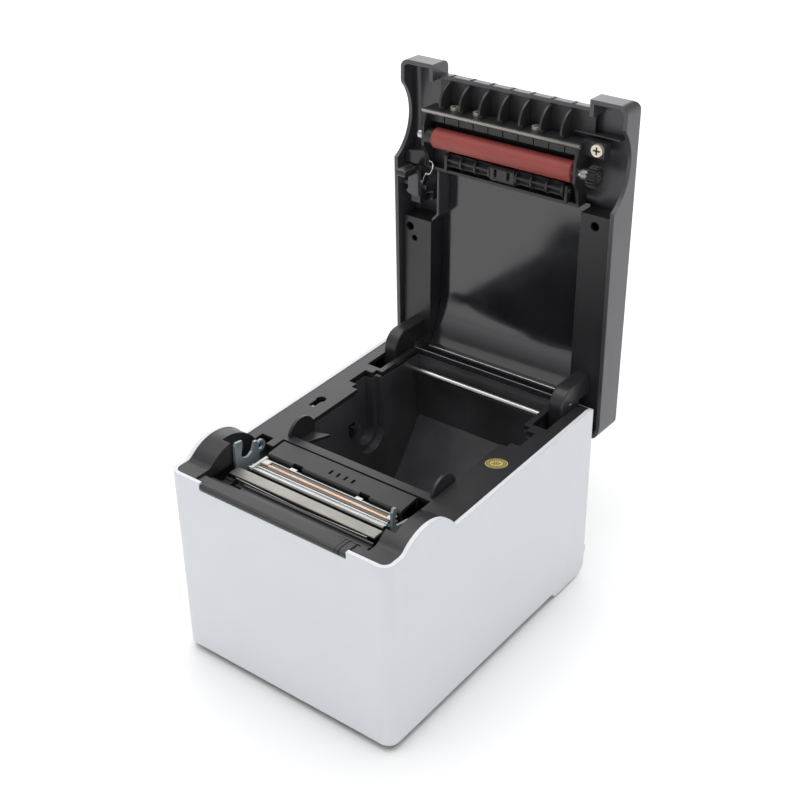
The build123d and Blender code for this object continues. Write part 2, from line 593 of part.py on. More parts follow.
rocker_outline = [(-6.2, -7.6), (-4.0, 0), (-5.0, 7.6), (-1.2, 7.4), (2.0, 2.5), (2.0, -2.5), (-2.2, -7.6)]
with BuildPart() as power_rocker:
    with BuildSketch(Plane.XY.offset(SWITCH_Z - 4.3)):
        with BuildLine():
            Polyline(*((ROCKER_X + x, SWITCH_Y + y) for x, y in rocker_outline), close=True)
        make_face()
    extrude(amount=8.6)
    post(1.05, ROCKER_X, SWITCH_Y, (0, 60), mode=Mode.SUBTRACT)
save(power_rocker, "power_rocker")

with BuildPart() as qc_sticker:
    with BuildSketch(Plane.XY.offset(104.6)):
        with Locations(Location((53.6, 14.2, 0), (0, 0, 32))):
            Ellipse(5.6, 4.2)
    extrude(amount=1.4)
    extrude(below_rim(-0.3), amount=WIDTH, both=True, mode=Mode.SUBTRACT)
    extrude(below_rim(-0.14), amount=WIDTH, both=True, mode=Mode.INTERSECT)
save(qc_sticker, "qc_sticker")

# ---------------------------------------------------------------- lid
HORN_IN = 46.0           # inner side of the lid's two front horns
LIP_Y = -82.5            # front of the lid between the horns
LID_CONTROLS_X, FEED_Y, LENS_Y = 54.5, -19.0, (-8, -1, 6)


def under_lid(drop):
    """Side view of all the space inside the lid's outer skin moved inward by `drop`."""
    front, rear = LID_FRONT_Y + drop, LID_REAR_Y - drop
    with BuildSketch(Plane.YZ) as view:
        with BuildLine():
            Polyline(
                (front, 60), (rear, 60), (rear, LID_TOP_REAR - drop),
                (front, LID_TOP_FRONT - drop), close=True,
            )
        make_face()
        fillet(view.vertices().sort_by(Axis.Y)[-2:], 4.0 - drop)
    return view.sketch


with BuildPart() as lid_cover:
    with BuildSketch(Plane.XY.offset(90)):
        with Locations((0, (LID_FRONT_Y + LID_REAR_Y) / 2)):
            RectangleRounded(WIDTH, LID_REAR_Y - LID_FRONT_Y, 4.5)
    extrude(amount=40)
    extrude(under_lid(0), amount=WIDTH, both=True, mode=Mode.INTERSECT)
    top_edges = lid_cover.edges().filter_by(lambda e: e.length > 150 and e.center().Z > 120)
    fillet(top_edges, 1.2)
    with BuildSketch(Plane.YZ) as recess:
        with BuildLine():
            Polyline((LIP_Y, 119.8), (LIP_Y, 80), (-100, 80), (-100, 130), (LIP_Y + 4, 130), (LIP_Y + 4, 123.9))
            ThreePointArc((LIP_Y, 119.8), (LIP_Y + 1.2, 122.7), (LIP_Y + 4, 123.9))
        make_face()
    extrude(recess.sketch, amount=HORN_IN, both=True, mode=Mode.SUBTRACT)
    with BuildPart(mode=Mode.PRIVATE) as cavity:
        extrude(under_lid(WALL), amount=IN_W, both=True)
        block((-HORN_IN - WALL, HORN_IN + WALL), (-100, LIP_Y + WALL), (50, 130), mode=Mode.SUBTRACT)
        fillet(cavity.edges().filter_by(Axis.Z).sort_by(Axis.Y)[-2:], 2.8)
    add(cavity.part, mode=Mode.SUBTRACT)
    extrude(below_rim(LID_GAP, rounded=False), amount=WIDTH, both=True, mode=Mode.SUBTRACT)
    block((-HORN_IN, HORN_IN), (-100, LIP_Y + WALL + 0.5), (80, 116.6), mode=Mode.SUBTRACT)
    post(4.3, LID_CONTROLS_X, FEED_Y, (118, 130), mode=Mode.SUBTRACT)
    for y in LENS_Y:
        post(1.5, LID_CONTROLS_X, y, (118, 130), mode=Mode.SUBTRACT)
    block((-58.3, -50.7), (-18.3, -11.7), (118, 130), mode=Mode.SUBTRACT)
save(lid_cover, "lid_cover", on_lid=True)

PILLAR_Z = 109.3
PILLARS = ((-1, -3.6), (1, -32.0))
with BuildPart() as lid_inner_frame:
    for side, front in PILLARS:
        block(sorted((side * 45.6, side * (IN_W - FIT))), (front, 87.8), (PILLAR_Z, 130))
    block((-50, 50), (85.8, 87.8), (PILLAR_Z + 3, 130))
    for side, front in PILLARS:
        block(sorted((side * 47.4, side * (IN_W - FIT - 1.8))), (front + 1.8, 86), (PILLAR_Z + 1.8, 131), mode=Mode.SUBTRACT)
    post(2.4, -59.6, 2.2, (100, 115), mode=Mode.SUBTRACT)
    post(1.8, -56.6, 8.4, (100, 115), mode=Mode.SUBTRACT)
    post(2.4, 53.8, -26.2, (100, 115), mode=Mode.SUBTRACT)
    block((-47.4, 47.4), (85, 88), (118.4, 131), mode=Mode.SUBTRACT)
    for side in (-1, 1):
        block(sorted((side * (IN_W - 2.4), side * 70)), (-100, 100), (120.6, 131), mode=Mode.SUBTRACT)
    with BuildSketch(Plane.XY.offset(90)):
        with Locations((0, (LID_FRONT_Y + LID_REAR_Y) / 2)):
            RectangleRounded(2 * (IN_W - FIT), LID_REAR_Y - LID_FRONT_Y - 2 * WALL - 0.4, 2.8)
    extrude(amount=60, mode=Mode.INTERSECT)
    extrude(under_lid(WALL + FIT), amount=WIDTH, both=True, mode=Mode.INTERSECT)
save(lid_inner_frame, "lid_inner_frame", on_lid=True)

with BuildPart() as lid_inner_panel:
    block((-45.4, 45.4), (-33.2, 85.6), (118.6, 120.2))
save(lid_inner_panel, "lid_inner_panel", on_lid=True)

ARM_FRONT_Y, ARM_LOW_Z = 55.5, 82.2
arms = []
for side in (-1, 1):
    with BuildPart() as hinge_arm:
        with BuildSketch(Plane.YZ) as arm:
            with BuildLine():
                Polyline(
                    (ARM_FRONT_Y, PILLAR_Z), (ARM_FRONT_Y, ARM_LOW_Z), (85.4, ARM_LOW_Z), (85.4, 100.2),
                    (66.4, 100.2), (66.4, PILLAR_Z), close=True,
                )
            make_face()
            fillet(arm.vertices().sort_by_distance((ARM_FRONT_Y, ARM_LOW_Z, 0))[0], 10)
            fillet(arm.vertices().sort_by_distance((85.4, ARM_LOW_Z, 0))[0], 5.4)
            fillet(arm.vertices().sort_by_distance((85.4, 100.2, 0))[0], 5.4)
        inner_x = side * 49.2 if side > 0 else side * 57.2
        extrude(Pos(inner_x, 0, 0) * arm.sketch, amount=8.0)
        rod(SHAFT_R + RUN, (-WIDTH, WIDTH), HINGE_Y, HINGE_Z, mode=Mode.SUBTRACT)
        fillet(hinge_arm.edges().filter_by(GeomType.LINE).filter_by(Axis.Z).group_by(Axis.Y)[0], 1.0)
    arms.append(hinge_arm.part)
save(group(arms), "hinge_arms", on_lid=True)

RIB_COUNT = 7
RIB_STEP = 12.0
with BuildPart() as exit_comb:
    block((-45.8, 45.8), (LIP_Y + WALL + 0.2, -67.0), (117.2, 118.8))
    with BuildSketch(Plane.YZ) as fin:
        with BuildLine():
            Polyline((-69.0, 106.9), (-69.0, 109.2), (-67.0, 109.2), (-67.0, 118.0), (-80.0, 118.0), (-80.0, 115.6))
            ThreePointArc((-80.0, 115.6), (-76.4, 109.6), (-69.0, 106.9))
        make_face()
    for index in range(RIB_COUNT):
        x = MECH_X - 0.6 + (index - (RIB_COUNT - 1) / 2) * RIB_STEP
        extrude(Pos(x - 0.6, 0, 0) * fin.sketch, amount=1.2)
save(exit_comb, "exit_comb", on_lid=True)

CARRIER_L, CARRIER_R = MECH_X - 46.3, MECH_X + 46.3
GUIDE = (-41.2, 110.4)   # axle of the paper guide rollers
GUIDE_R = 4.3
GUIDE_SHAFT_R = 1.2
with BuildPart() as platen_carrier:
    block((CARRIER_L, CARRIER_R), (-66.9, -35.4), (115.0, 117.0))
    block((CARRIER_L, CARRIER_R), (-66.9, -65.2), (106.8, 115.0))
    block((CARRIER_L, CARRIER_R), (-65.2, -59.6), (110.4, 115.0))
    for index in range(9):
        middle = MECH_X - 36 + index * 9
        block((middle - 0.3, middle + 0.3), (-65.2, -59), (110, 111.2), mode=Mode.SUBTRACT)
    block((CARRIER_L, CARRIER_R), (-35.4, -33.8), (109.4, 117.0))
    cheek = [(-66.9, 116), (-66.9, 108.0), (-58.5, 104.6), (-47.5, 104.6), (-42.5, 108.0), (-33.8, 110.0), (-33.8, 116)]
    bar(cheek, (CARRIER_L, CARRIER_L + 1.6))
    bar(cheek, (CARRIER_R - 1.6, CARRIER_R))
    block((CARRIER_R - 1, 55.0), (-68.2, -60.4), (111.4, 117.0))
    for x in (-36.4, 36.3):
        block((x, x + 1.5), (-44.0, -35.0), (107.8, 116))
    rod(3.2, (-WIDTH, WIDTH), *PLATEN, mode=Mode.SUBTRACT)
    rod(GUIDE_SHAFT_R, (-40, 40), *GUIDE, mode=Mode.SUBTRACT)
save(platen_carrier, "platen_carrier", on_lid=True)

with BuildPart() as tear_bar:
    bar([(-66.9, 106.8), (-66.9, 105.2), (-65.4, 105.6), (-64.4, 106.8)], (CARRIER_L - 0.6, CARRIER_R + 0.6))
save(tear_bar, "tear_bar", on_lid=True)

with BuildPart() as platen_shaft:
    rod(PLATEN_SHAFT_R, (-52.8, 49.6), *PLATEN)
    rod(1.9, (49.6, 55.0), *PLATEN)
    chamfer(platen_shaft.edges().group_by(Axis.X)[0], 0.4)
save(platen_shaft, "platen_shaft", on_lid=True)

with BuildPart() as platen_rubber:
    rod(PLATEN_R, PLATEN_ENDS, *PLATEN)
    rod(PLATEN_SHAFT_R, (-WIDTH, WIDTH), *PLATEN, mode=Mode.SUBTRACT)
    chamfer(platen_rubber.edges().filter_by(GeomType.CIRCLE).group_by(SortBy.RADIUS)[-1], 0.5)
save(platen_rubber, "platen_rubber", on_lid=True)

with BuildPart() as platen_gear:
    gear(PLATEN_TEETH, GEAR_M, PLATEN, GEAR_X, 1.9, PLATEN_PHASE)
    rod(3.4, (GEAR_X[1], GEAR_X[1] + 0.8), *PLATEN)
    rod(1.9, (GEAR_X[0], GEAR_X[1] + 2), *PLATEN, mode=Mode.SUBTRACT)
save(platen_gear, "platen_gear", on_lid=True)

with BuildPart() as platen_bushings:
    for x in (CARRIER_L - 0.2, CARRIER_R - 1.8):
        rod(3.2, (x, x + 2.0), *PLATEN)
    rod(PLATEN_SHAFT_R + RUN, (-WIDTH, WIDTH), *PLATEN, mode=Mode.SUBTRACT)
save(platen_bushings, "platen_bushings", on_lid=True)

LEVER_PIVOT = (-22.0, 111.0)
with BuildPart() as lid_pins:
    rod(GUIDE_SHAFT_R, (-37.2, 38.2), *GUIDE)
    rod(1.5, (-63.9, -49.4), *LEVER_PIVOT)
save(lid_pins, "lid_pins", on_lid=True)

for low, high, name in ((-34.6, -7.4, "left_guide_roller"), (7.9, 36.0, "right_guide_roller")):
    with BuildPart() as guide_roller:
        rod(2.1, (low, high), *GUIDE)
        for index in range(4):
            x = low + (high - low - 1.0) * index / 3
            rod(GUIDE_R, (x, x + 1.0), *GUIDE)
        for index in range(6):
            end = away(GUIDE, GUIDE_R - 0.5, index * 60 + 15)
            near = away(GUIDE, 1.6, index * 60 + 15)
            side_way = away((0, 0), 0.45, index * 60 + 105)
            blade = [
                (near[0] + side_way[0], near[1] + side_way[1]), (end[0] + side_way[0], end[1] + side_way[1]),
                (end[0] - side_way[0], end[1] - side_way[1]), (near[0] - side_way[0], near[1] - side_way[1]),
            ]
            bar(blade, (low, high))
        rod(GUIDE_SHAFT_R + RUN, (-WIDTH, WIDTH), *GUIDE, mode=Mode.SUBTRACT)
    save(guide_roller, name, on_lid=True)

with BuildPart() as paper_sensor:
    block((-7.0, 7.5), (-45.2, -37.0), (106.4, 114.8))
    rod(GUIDE_SHAFT_R, (-WIDTH, WIDTH), *GUIDE, mode=Mode.SUBTRACT)
    for x in (-4.6, 3.2):
        block((x, x + 1.8), (-42.6, -40.0), (105, 108.4), mode=Mode.SUBTRACT)
    chamfer(paper_sensor.edges().filter_by(Axis.X).group_by(Axis.Z)[0], 1.2)
save(paper_sensor, "paper_sensor", on_lid=True)

LEVER_X = (-57.4, -51.6)
with BuildPart() as release_lever:
    with BuildSketch(Plane.YZ) as lever:
        with BuildLine():
            Polyline(
                (-35.2, 94.0), (-31.8, 94.0), (-31.4, 104.4), (-26.0, 107.0), (-13.6, 107.6),
                (-13.6, 114.0), (-27.0, 114.2), (-35.2, 104.6), close=True,
            )
        make_face()
        fillet(lever.vertices().group_by(Axis.Y)[0], 1.4)
    extrude(Pos(LEVER_X[0], 0, 0) * lever.sketch, amount=LEVER_X[1] - LEVER_X[0])
    rod(1.5 + RUN, (-WIDTH, WIDTH), *LEVER_PIVOT, mode=Mode.SUBTRACT)
save(release_lever, "release_lever", on_lid=True)

with BuildPart() as release_button:
    block((-58.0, -51.0), (-18.0, -12.0), (118.0, 125.7))
    block((-56.6, -52.4), (-14.8, -12.6), (114.4, 118.0))
    chamfer(release_button.edges().group_by(Axis.Z)[-1], 0.6)
save(release_button, "release_button", on_lid=True)

with BuildPart() as feed_button:
    post(4.0, LID_CONTROLS_X, FEED_Y, (121.9, 125.3))
    post(1.5, LID_CONTROLS_X, FEED_Y, (120.9, 121.9))
    fillet(feed_button.edges().group_by(Axis.Z)[-1], 0.5)
save(feed_button, "feed_button", on_lid=True)

with BuildPart() as status_lenses:
    for y in LENS_Y:
        post(1.4, LID_CONTROLS_X, y, (120.9, 124.8))
save(status_lenses, "status_lenses", on_lid=True)

with BuildPart() as carrier_screws:
    for x in (-34.4, -20.2, 14.9):
        stub(2.4, x, (-68.4, -66.9), 113.6)
    post(3.1, 51.6, -64.6, (109.4, 111.4))
save(carrier_screws, "carrier_screws", on_lid=True)
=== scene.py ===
"""Receipt printer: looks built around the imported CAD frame.  Metres, +Z up."""
import json
from math import cos, radians, sin

import bmesh
import bpy
from mathutils import Matrix, Vector


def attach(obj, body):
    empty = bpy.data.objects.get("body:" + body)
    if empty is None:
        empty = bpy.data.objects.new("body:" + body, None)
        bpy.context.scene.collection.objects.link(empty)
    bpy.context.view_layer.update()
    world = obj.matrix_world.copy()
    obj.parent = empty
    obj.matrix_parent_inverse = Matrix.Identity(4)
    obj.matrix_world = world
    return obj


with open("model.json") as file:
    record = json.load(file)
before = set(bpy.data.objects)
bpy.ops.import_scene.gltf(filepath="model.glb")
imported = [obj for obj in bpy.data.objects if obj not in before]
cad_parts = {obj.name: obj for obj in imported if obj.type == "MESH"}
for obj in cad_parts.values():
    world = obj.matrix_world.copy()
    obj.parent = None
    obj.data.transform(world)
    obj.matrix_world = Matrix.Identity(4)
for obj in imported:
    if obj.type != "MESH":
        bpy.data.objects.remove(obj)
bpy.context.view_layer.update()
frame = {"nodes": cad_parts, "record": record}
NODES = frame["nodes"]
MM = 0.001

# ---------------------------------------------------------------- camera
CAMERA_AT = Vector((0.3592, -0.4675, 0.4770))
AZIMUTH, ELEVATION, ROLL = radians(37.7835), radians(30.9827), radians(-0.9097)
LENS = 62.07


def link(name, data):
    """Put a new object into the scene."""
    made = bpy.data.objects.new(name, data)
    bpy.context.scene.collection.objects.link(made)
    return made


def add_camera():
    """Camera at the photograph's viewing angle."""
    back = Vector((sin(AZIMUTH) * cos(ELEVATION), -cos(AZIMUTH) * cos(ELEVATION), sin(ELEVATION)))
    right = Vector((cos(AZIMUTH), sin(AZIMUTH), 0))
    up = back.cross(right)
    right, up = (
        right * cos(ROLL) + up * sin(ROLL),
        up * cos(ROLL) - right * sin(ROLL),
    )
    data = bpy.data.cameras.new("view")
    data.lens = LENS
    data.sensor_width = 36
    data.clip_start = 0.01
    camera = link("view", data)
    turn = Matrix((right, up, back)).transposed().to_4x4()
    camera.matrix_world = Matrix.Translation(CAMERA_AT) @ turn
    bpy.context.scene.camera = camera


# ---------------------------------------------------------------- studio
FLOOR_HALF = 60
MAP_RANGE = ("From Min", "From Max", "To Min", "To Max")


def area_light(name, at, aim, size, power, colour=(1, 1, 1)):
    data = bpy.data.lights.new(name, "AREA")
    data.shape = "RECTANGLE"
    data.size, data.size_y = size
    data.energy = power
    data.color = colour
    lamp = link(name, data)
    lamp.visible_camera = False
    away = Vector(at) - Vector(aim)
    lamp.matrix_world = Matrix.Translation(at) @ away.to_track_quat("Z", "Y").to_matrix().to_4x4()


def add_world():
    """Sky that is white at the horizon and fades to a dim zenith."""
    world = bpy.data.worlds.new("studio")
    world.use_nodes = True
    tree = world.node_tree
    place = tree.nodes.new("ShaderNodeTexCoord")
    height = tree.nodes.new("ShaderNodeSeparateXYZ")
    fade = tree.nodes.new("ShaderNodeMapRange")
    for key, number in zip(MAP_RANGE, (0.1, 0.5, 0.95, 0.14)):
        fade.inputs[key].default_value = number
    tree.links.new(place.outputs["Generated"], height.inputs[0])
    tree.links.new(height.outputs["Z"], fade.inputs["Value"])
    shade = tree.nodes["Background"]
    shade.inputs["Color"].default_value = (0.97, 0.98, 1.0, 1)
    tree.links.new(fade.outputs["Result"], shade.inputs["Strength"])
    bpy.context.scene.world = world
    bpy.context.scene.view_settings.view_transform = "Standard"


def add_lights():
    """Wide soft ceiling, a strip behind the left and a weak key from the front left."""
    ceiling = bpy.data.lights.new("ceiling", "SUN")
    ceiling.energy = 2.85
    ceiling.angle = radians(76)
    link("ceiling", ceiling)
    area_light("back_left", (-1.15, 1.5, 1.1), (0, 0, 0.1), (1.7, 1.2), 11)
    area_light("key", (-0.7, -1.1, 1.2), (0, 0, 0.12), (0.8, 0.6), 1.2, (1.0, 0.99, 0.97))


def add_floor():
    """Plain pale floor that reaches the horizon."""
    bm = bmesh.new()
    bmesh.ops.create_grid(bm, x_segments=2, y_segments=2, size=FLOOR_HALF)
    mesh = bpy.data.meshes.new("floor")
    bm.to_mesh(mesh)
    bm.free()
    floor = link("floor", mesh)
    mat = bpy.data.materials.new("floor")
    mat.use_nodes = True
    bsdf = mat.node_tree.nodes["Principled BSDF"]
    bsdf.inputs["Base Color"].default_value = (0.93, 0.93, 0.93, 1)
    bsdf.inputs["Roughness"].default_value = 0.9
    mesh.materials.append(mat)


# ---------------------------------------------------------------- materials
class Nodes:
    """Short way to write a material's node tree."""

    def __init__(self, name):
        self.mat = bpy.data.materials.new(name)
        self.mat.use_nodes = True
        self.tree = self.mat.node_tree
        self.bsdf = self.tree.nodes["Principled BSDF"]
        self.place = self.tree.nodes.new("ShaderNodeTexCoord").outputs["Object"]

    def node(self, kind, **inputs):
        """New node; a keyword sets the property of that name, or else the input."""
        made = self.tree.nodes.new("ShaderNode" + kind)
        for key, value in inputs.items():
            if hasattr(made, key) and not isinstance(value, bpy.types.NodeSocket) and key not in made.inputs:
                setattr(made, key, value)
            else:
                self.put(made.inputs[key.replace("_", " ")], value)
        return made

    def put(self, socket, value):
        if isinstance(value, bpy.types.NodeSocket):
            self.tree.links.new(value, socket)
        else:
            socket.default_value = value

    def set(self, **inputs):
        for key, value in inputs.items():
            self.put(self.bsdf.inputs[key.replace("_", " ")], value)

    def noise(self, scale, detail=3.0, roughness=0.5, place=None):
        made = self.node("TexNoise", Scale=scale, Detail=detail, Roughness=roughness, Vector=place or self.place)
        return made.outputs["Fac"]

    def stretched(self, scale):
        """Object coordinates stretched for brushed or drawn metal."""
        made = self.node("Mapping", Vector=self.place)
        made.inputs["Scale"].default_value = scale
        return made.outputs["Vector"]

    def ramp(self, value, low, high, out_low, out_high):
        made = self.node("MapRange", Value=value)
        for key, number in zip(MAP_RANGE, (low, high, out_low, out_high)):
            made.inputs[key].default_value = number
        return made.outputs["Result"]

    def blend(self, factor, low, high):
        """Mix of two colours."""
        made = self.tree.nodes.new("ShaderNodeMix")
        made.data_type = "RGBA"
        self.put(made.inputs["Factor"], factor)
        self.put(made.inputs[6], low)
        self.put(made.inputs[7], high)
        return made.outputs[2]

    def times(self, first, second):
        made = self.tree.nodes.new("ShaderNodeMath")
        made.operation = "MULTIPLY"
        self.put(made.inputs[0], first)
        self.put(made.inputs[1], second)
        return made.outputs[0]

    def edges(self, radius):
        """1 near a sharp edge, 0 on flat ground."""
        bevel = self.node("Bevel", samples=4, Radius=radius)
        shape = self.tree.nodes.new("ShaderNodeNewGeometry")
        dot = self.tree.nodes.new("ShaderNodeVectorMath")
        dot.operation = "DOT_PRODUCT"
        self.put(dot.inputs[0], bevel.outputs["Normal"])
        self.put(dot.inputs[1], shape.outputs["Normal"])
        return self.ramp(dot.outputs["Value"], 0.985, 0.80, 0.0, 1.0)

    def bump(self, height, strength, distance, rounding=0.0):
        made = self.node("Bump", Height=height, Strength=strength, Distance=distance)
        if rounding:
            bevel = self.node("Bevel", samples=4, Radius=rounding)
            self.put(made.inputs["Normal"], bevel.outputs["Normal"])
        self.put(self.bsdf.inputs["Normal"], made.outputs["Normal"])


def rgb(colour, gain=1.0):
    """Colour brightened by a factor, with its alpha."""
    return (*(min(1, c * gain) for c in colour), 1.0)


def moulded(name, colour, rough, grain=0.12, grain_scale=2600, rounding=0.35 * MM, edge_wear_and_highlight=0.25, specular=0.5,
            mottle=0.1):
    """Injection-moulded plastic: fine spark grain, faint flow marks, and edges lightened in patches, partly wear and
    partly painted highlight.
    """
    n = Nodes(name)
    flow = n.noise(38, 4)
    body = n.blend(n.ramp(flow, 0.3, 0.7, 0, 1), rgb(colour, 1 - mottle), rgb(colour, 1 + mottle))
    # Lighter colour along sharp edges: partly wear, partly a painted edge highlight.
    worn_and_highlit_colour = [c + (0.09 if c < 0.3 else 0.02) for c in colour]
    patchy = n.ramp(n.noise(190, 3), 0.45, 0.7, 0.0, edge_wear_and_highlight)
    n.set(Base_Color=n.blend(n.times(n.edges(0.5 * MM), patchy), body, rgb(worn_and_highlit_colour)))
    n.set(Roughness=n.ramp(n.noise(70, 3), 0.3, 0.7, rough - 0.02, rough + 0.03))
    n.bsdf.inputs["Specular IOR Level"].default_value = specular
    n.bump(n.noise(grain_scale, 2), grain, 0.06 * MM, rounding)
    return n.mat


def metal(name, colour, rough, along="X", streak=0.12, tint=0.08, rounding=0.15 * MM, metallic=1.0):
    """Drawn or rolled metal with streaks along one axis and faint stains."""
    n = Nodes(name)
    fine, coarse = 2600, 30
    line = n.noise(1.0, 3, 0.6, n.stretched([coarse if axis == along else fine for axis in "XYZ"]))
    stain = n.noise(120, 4)
    body = n.blend(n.ramp(stain, 0.3, 0.7, 0, 1), rgb(colour, 1 - tint), rgb(colour, 1 + tint))
    n.set(Base_Color=body, Roughness=n.ramp(line, 0.25, 0.75, max(0.04, rough - streak), rough + streak))
    n.bsdf.inputs["Metallic"].default_value = metallic
    n.bump(line, 0.15, 0.02 * MM, rounding)
    return n.mat


# Name: (maker, colour, roughness, what differs from the maker's defaults).
FINISHES = {
    # shell
    "case_white": (moulded, (0.70, 0.72, 0.75), 0.42, dict(grain=0.06, mottle=0.012, edge_wear_and_highlight=0.1, rounding=0.5 * MM)),
    "black_plastic": (moulded, (0.021, 0.021, 0.023), 0.35, {}),
    # The paper bay's black is lighter and more mottled than the deck's: a painted sheen on the bay's ramp.
    "bay_plastic": (moulded, (0.062, 0.062, 0.067), 0.33, dict(grain=0.3, mottle=0.3)),
    # The lid's edges get the strongest lightening, a painted highlight on the walls of its ribs.
    "lid_plastic": (moulded, (0.044, 0.045, 0.050), 0.33, dict(grain=0.2, edge_wear_and_highlight=0.4, specular=0.75, rounding=0.6 * MM)),
    "panel_gloss": (moulded, (0.015, 0.015, 0.018), 0.12,
                    dict(grain=0.006, edge_wear_and_highlight=0.0, mottle=0.15, specular=0.95, rounding=0.0)),
    "seam_black": (moulded, (0.004, 0.004, 0.004), 0.7, dict(grain=0.02, edge_wear_and_highlight=0.0, specular=0.2)),
    "lens_plastic": (moulded, (0.70, 0.73, 0.75), 0.15, dict(grain=0.02, edge_wear_and_highlight=0.0)),
    "foot_rubber": (moulded, (0.03, 0.03, 0.03), 0.8, dict(grain=0.3, edge_wear_and_highlight=0.1)),
    # mechanism
    "gear_plastic": (moulded, (0.02, 0.02, 0.022), 0.35, dict(rounding=0.15 * MM)),
    "gloss_black": (moulded, (0.014, 0.014, 0.016), 0.2, dict(grain=0.03, edge_wear_and_highlight=0.3, rounding=0.3 * MM)),
    "roller_rubber": (moulded, (0.30, 0.055, 0.045), 0.48, dict(grain=0.25, grain_scale=1800, edge_wear_and_highlight=0.2)),
    "bright_steel": (metal, (0.52, 0.515, 0.50), 0.24, {}),
    "plate_steel": (metal, (0.33, 0.32, 0.295), 0.42, {}),
    "zinc_steel": (metal, (0.30, 0.36, 0.40), 0.36, dict(along="Z", tint=0.15, metallic=0.35)),
    "spring_wire": (metal, (0.75, 0.75, 0.74), 0.2, {}),
    "bright_aluminium": (metal, (0.50, 0.50, 0.49), 0.30, {}),
    "brass_gear": (metal, (0.74, 0.68, 0.54), 0.28, dict(metallic=0.6)),
    "copper": (metal, (0.66, 0.44, 0.30), 0.30, {}),
    "head_glaze": (moulded, (0.085, 0.078, 0.068), 0.18, dict(grain=0.02, edge_wear_and_highlight=0.0)),
    "white_ceramic": (moulded, (0.60, 0.59, 0.55), 0.25, dict(grain=0.03, edge_wear_and_highlight=0.1, rounding=0.1 * MM)),
    "circuit_board": (moulded, (0.02, 0.13, 0.06), 0.35, dict(grain=0.1)),
    # label
    "gold_label": (metal, (0.62, 0.51, 0.15), 0.42, dict(metallic=0.2)),
    "label_ink": (moulded, (0.035, 0.032, 0.018), 0.5, dict(grain=0.02, edge_wear_and_highlight=0.0)),
}
MATERIALS = {
    name: maker(name, colour, rough, **extra)
    for name, (maker, colour, rough, extra) in FINISHES.items()
}


def dress(node, material):
    """Give every material slot of a CAD node the finished material."""
    for slot in NODES[node].material_slots:
        slot.material = material


def dress_all():
    for entry in frame["record"]["subparts"]:
        dress(entry["node"], MATERIALS[entry["material_slot"]])
    dress("paper_bay", MATERIALS["bay_plastic"])
    dress("carrier_screws", MATERIALS["brass_gear"])


# ---------------------------------------------------------------- building pieces
# Pieces are drawn in millimetres, with the lid shut, and FRAME_Y moves them into the frame.
FRAME_Y = -11.8
HINGE_Y, HINGE_Z = 79.7, 94.3
OPEN = radians(-91)


def body_at(x, y, z):
    """Frame position of a point of the body."""
    return Vector((x, y + FRAME_Y, z)) * MM


def lid_at(x, y, z):
    """Frame position, on the open lid, of a point given where it lies when the lid is shut."""
    dy, dz = y - HINGE_Y, z - HINGE_Z
    return body_at(x, HINGE_Y + dy * cos(OPEN) - dz * sin(OPEN), HINGE_Z + dy * sin(OPEN) + dz * cos(OPEN))


def piece(name, bm, body, material, at=body_at, bevel=0.0, segments=2, smooth=35):
    """Turn a bmesh drawn in millimetres into a finished piece that rides on a body."""
    for vert in bm.verts:
        vert.co = at(*vert.co)
    bmesh.ops.recalc_face_normals(bm, faces=bm.faces)
    mesh = bpy.data.meshes.new(name)
    bm.to_mesh(mesh)
    bm.free()
    made = link(name, mesh)
    mesh.materials.append(MATERIALS[material])
    for face in mesh.polygons:
        face.use_smooth = True
    mesh.set_sharp_from_angle(angle=radians(smooth))
    if bevel:
        mod = made.modifiers.new("rounding", "BEVEL")
        mod.width = bevel * MM
        mod.segments = segments
        mod.limit_method = "ANGLE"
        mod.angle_limit = radians(30)
        mod.harden_normals = True
    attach(made, body)


def spot(axis, a, b, along):
    """Point whose coordinate on the axis is along, and a and b are the other two in order."""
    return {"X": (along, a, b), "Y": (a, along, b), "Z": (a, b, along)}[axis]


def prism(bm, points, low, high, axis="X"):
    """Polygon swept along one axis; points are the other two coordinates in order."""
    ends = [[bm.verts.new(spot(axis, a, b, along)) for a, b in points] for along in (low, high)]
    bm.faces.new(ends[0])
    bm.faces.new(list(reversed(ends[1])))
    count = len(points)
    for i in range(count):
        j = (i + 1) % count
        bm.faces.new((ends[0][i], ends[1][i], ends[1][j], ends[0][j]))


def cuboid(bm, x, y, z):
    prism(bm, [(x[0], y[0]), (x[1], y[0]), (x[1], y[1]), (x[0], y[1])], z[0], z[1], "Z")


def skin(bm, loops):
    """Close a tube over rings of vertices, with a face at each end."""
    count = len(loops[0])
    for low, high in zip(loops, loops[1:]):
        for i in range(count):
            j = (i + 1) % count
            bm.faces.new((low[i], low[j], high[j], high[i]))
    bm.faces.new(loops[0])
    bm.faces.new(list(reversed(loops[-1])))


def lathe(bm, centre, profile, axis="X", count=32):
    """Solid of revolution: profile is (position along axis, radius) pairs, closed at its ends."""
    turns = [radians(360 * i / count) for i in range(count)]
    skin(bm, [
        [bm.verts.new(spot(axis, centre[0] + radius * cos(a), centre[1] + radius * sin(a), along)) for a in turns]
        for along, radius in profile
    ])


def wire(bm, path, radius, count=10):
    """Round wire along a list of points."""
    points = [Vector(p) for p in path]
    turns = [radians(360 * k / count) for k in range(count)]
    loops = []
    side = None
    for i, point in enumerate(points):
        ahead = points[min(i + 1, len(points) - 1)] - points[max(i - 1, 0)]
        ahead.normalize()
        if side is None:
            side = ahead.orthogonal().normalized()
        side = (side - ahead * side.dot(ahead)).normalized()
        other = ahead.cross(side)
        loops.append([bm.verts.new(point + (side * cos(a) + other * sin(a)) * radius) for a in turns])
    skin(bm, loops)


# ---------------------------------------------------------------- print mechanism
HEAD_L, HEAD_R = -43.0, 38.0
HEAD_TOP = 101.6
PLATEN_AXIS = (-52.0, 108.4)


